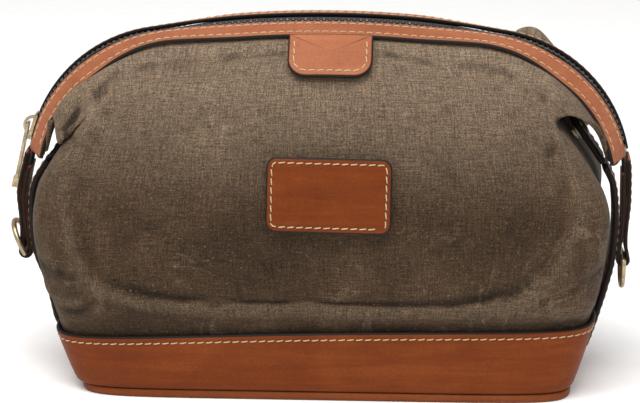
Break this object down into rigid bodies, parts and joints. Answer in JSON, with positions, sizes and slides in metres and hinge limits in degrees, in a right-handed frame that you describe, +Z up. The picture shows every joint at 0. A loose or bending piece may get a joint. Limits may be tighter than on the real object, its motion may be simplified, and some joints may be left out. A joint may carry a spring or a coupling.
{
  "type": "shaving kit bag",
  "caption": "Soft shaving kit bag: waxed canvas body on a flared leather base, closed by an arched zip, with side straps, D-ring tabs and finger tabs.",
  "frame": {"origin": "middle of the flat underside of the leather base", "axes": "+X along the bag's width, towards the right side seen from the front; +Y towards the back; +Z up"},
  "size_m": [0.3101, 0.1268, 0.182],
  "materials": {
    "tan_leather": "oiled full-grain leather, tan, with streaky colour and black-painted edges",
    "strap_leather": "two layers of the tan leather with black-painted edges",
    "waxed_canvas": "olive-brown waxed cotton canvas with a fine weave and light crease marks",
    "lining_cloth": "plain woven cotton lining",
    "board": "stiff black bag board",
    "zip_tape": "black woven zip tape",
    "gunmetal": "dark gunmetal zip teeth",
    "antique_brass": "antique brass, satin"
  },
  "bodies": {
    "root": {"base_bottom": "tan_leather", "base_band": "tan_leather", "base_board": "board", "front_canvas": "waxed_canvas", "back_canvas": "waxed_canvas", "left_gusset": "waxed_canvas", "right_gusset": "waxed_canvas", "lining": "lining_cloth", "front_trim": "tan_leather", "back_trim": "tan_leather", "zip_tape_front": "zip_tape", "zip_tape_back": "zip_tape", "zip_teeth_front": "gunmetal", "zip_teeth_back": "gunmetal", "zip_top_stops": "antique_brass", "zip_bottom_stop": "antique_brass", "label_patch": "tan_leather", "left_strap": "strap_leather", "right_strap": "strap_leather", "left_snap_stud": "antique_brass", "right_snap_stud": "antique_brass", "left_end_tab": "tan_leather", "right_end_tab": "tan_leather"},
    "zip_slider": {"zip_slider": "antique_brass"},
    "zip_pull": {"zip_pull": "antique_brass"},
    "front_tab": {"front_tab": "tan_leather"},
    "back_tab": {"back_tab": "tan_leather"},
    "left_strap_tip": {"left_strap_tip": "strap_leather", "left_snap_cap": "antique_brass", "left_snap_socket": "antique_brass"},
    "right_strap_tip": {"right_strap_tip": "strap_leather", "right_snap_cap": "antique_brass", "right_snap_socket": "antique_brass"},
    "left_d_ring": {"left_d_ring": "antique_brass"},
    "right_d_ring": {"right_d_ring": "antique_brass"}
  },
  "joints": [
    {"name": "zip_slide", "type": "hinge", "parent": "root", "child": "zip_slider", "pos_m": [-0.07687, 0, 0.10069], "axis": [0, 1, 0], "range_deg": [0, 57]},
    {"name": "pull_swing", "type": "hinge", "parent": "zip_slider", "child": "zip_pull", "pos_m": [-0.1493, 0, 0.12563], "axis": [0, 1, 0], "range_deg": [0, 160]},
    {"name": "front_tab_lift", "type": "hinge", "parent": "root", "child": "front_tab", "pos_m": [0.003, -0.0216, 0.1758], "axis": [-1, 0, 0], "range_deg": [0, 70], "stiffness_Nm_per_rad": 0.002},
    {"name": "back_tab_lift", "type": "hinge", "parent": "root", "child": "back_tab", "pos_m": [0.002, 0.0218, 0.1779], "axis": [1, 0, 0], "range_deg": [0, 70], "stiffness_Nm_per_rad": 0.002},
    {"name": "left_snap_release", "type": "hinge", "parent": "root", "child": "left_strap_tip", "pos_m": [-0.13662, 0, 0.11088], "axis": [0, -1, 0], "range_deg": [0, 8]},
    {"name": "right_snap_release", "type": "hinge", "parent": "root", "child": "right_strap_tip", "pos_m": [0.13633, 0, 0.11088], "axis": [0, 1, 0], "range_deg": [0, 8]},
    {"name": "left_ring_swing", "type": "hinge", "parent": "root", "child": "left_d_ring", "pos_m": [-0.15107, 0, 0.0615], "axis": [0, 1, 0], "range_deg": [-164, 0]},
    {"name": "right_ring_swing", "type": "hinge", "parent": "root", "child": "right_d_ring", "pos_m": [0.14753, 0, 0.0615], "axis": [0, 1, 0], "range_deg": [-155, 10]}
  ]
}
